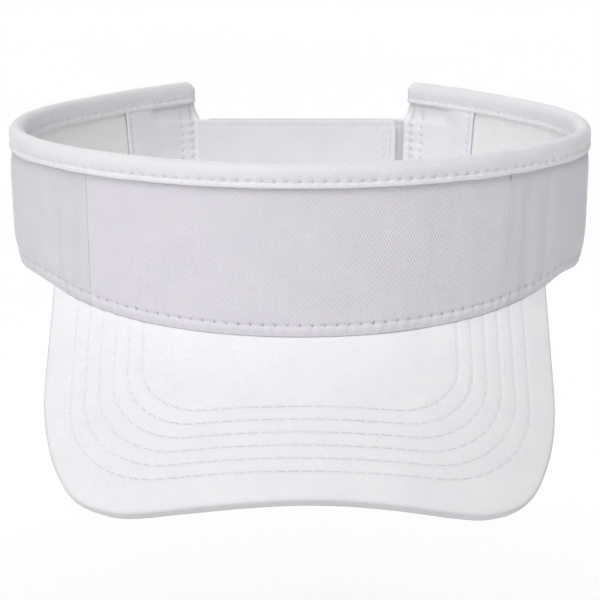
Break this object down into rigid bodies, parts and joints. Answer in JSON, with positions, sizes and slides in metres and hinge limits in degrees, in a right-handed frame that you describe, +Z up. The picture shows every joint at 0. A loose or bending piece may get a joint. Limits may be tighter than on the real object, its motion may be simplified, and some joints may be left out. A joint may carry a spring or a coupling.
{
  "type": "sun visor",
  "caption": "White cotton sun visor: open-top bound headband with a terry sweatband, a curved stitched bill and a hook-and-loop strap closure at the rear.",
  "frame": {"origin": "on the midline of the head opening, at its widest place, level with the lower edge of the band's sides", "axes": "+Z up through the head opening, the bill points towards -Y, +X is the right-hand side as seen from in front"},
  "size_m": [0.2032, 0.2208, 0.1072],
  "materials": {
    "white_twill": "white cotton twill",
    "binding_twill": "white bias-cut cotton twill",
    "bill_twill": "white cotton twill",
    "terry": "off-white terry",
    "buckram": "stiff open weave",
    "board": "plain sheet plastic",
    "strap_twill": "white cotton twill",
    "loop_pile": "brushed loop pile",
    "hook_nylon": "moulded nylon hooks on woven tape"
  },
  "bodies": {
    "front": {"front_panel": "white_twill", "front_stiffener": "buckram", "front_sweatband": "terry", "front_binding": "binding_twill", "bill_top_cover": "bill_twill", "bill_board": "board", "bill_under_cover": "bill_twill"},
    "side_right": {"side_panel_right": "white_twill", "side_sweatband_right": "terry", "side_binding_right": "binding_twill", "end_facing_right": "white_twill", "strap_root_right": "strap_twill"},
    "side_left": {"side_panel_left": "white_twill", "side_sweatband_left": "terry", "side_binding_left": "binding_twill", "end_facing_left": "white_twill", "strap_root_left": "strap_twill"},
    "strap_inner": {"inner_strap": "strap_twill", "loop_tape": "loop_pile"},
    "strap_outer": {"outer_strap": "strap_twill", "hook_tape": "hook_nylon"}
  },
  "joints": [
    {"name": "size_adjust", "type": "slide", "parent": "front", "child": "side_right", "axis": [1, 0, 0], "range_m": [0, 0.01]},
    {"name": "size_adjust_left", "type": "slide", "parent": "front", "child": "side_left", "axis": [-1, 0, 0], "range_m": [0, 0.01]},
    {"name": "outer_strap_peel", "type": "hinge", "parent": "side_right", "child": "strap_outer", "pos_m": [0.042, 0.0934, 0.021], "axis": [0, 0, -1], "range_deg": [0, 100]},
    {"name": "inner_strap_flex", "type": "hinge", "parent": "side_left", "child": "strap_inner", "pos_m": [-0.0395, 0.0894, 0.021], "axis": [0, 0, -1], "range_deg": [0, 60]}
  ],
  "couplings": [
    {"joint": "size_adjust_left", "follows": "size_adjust", "ratio": 1}
  ]
}
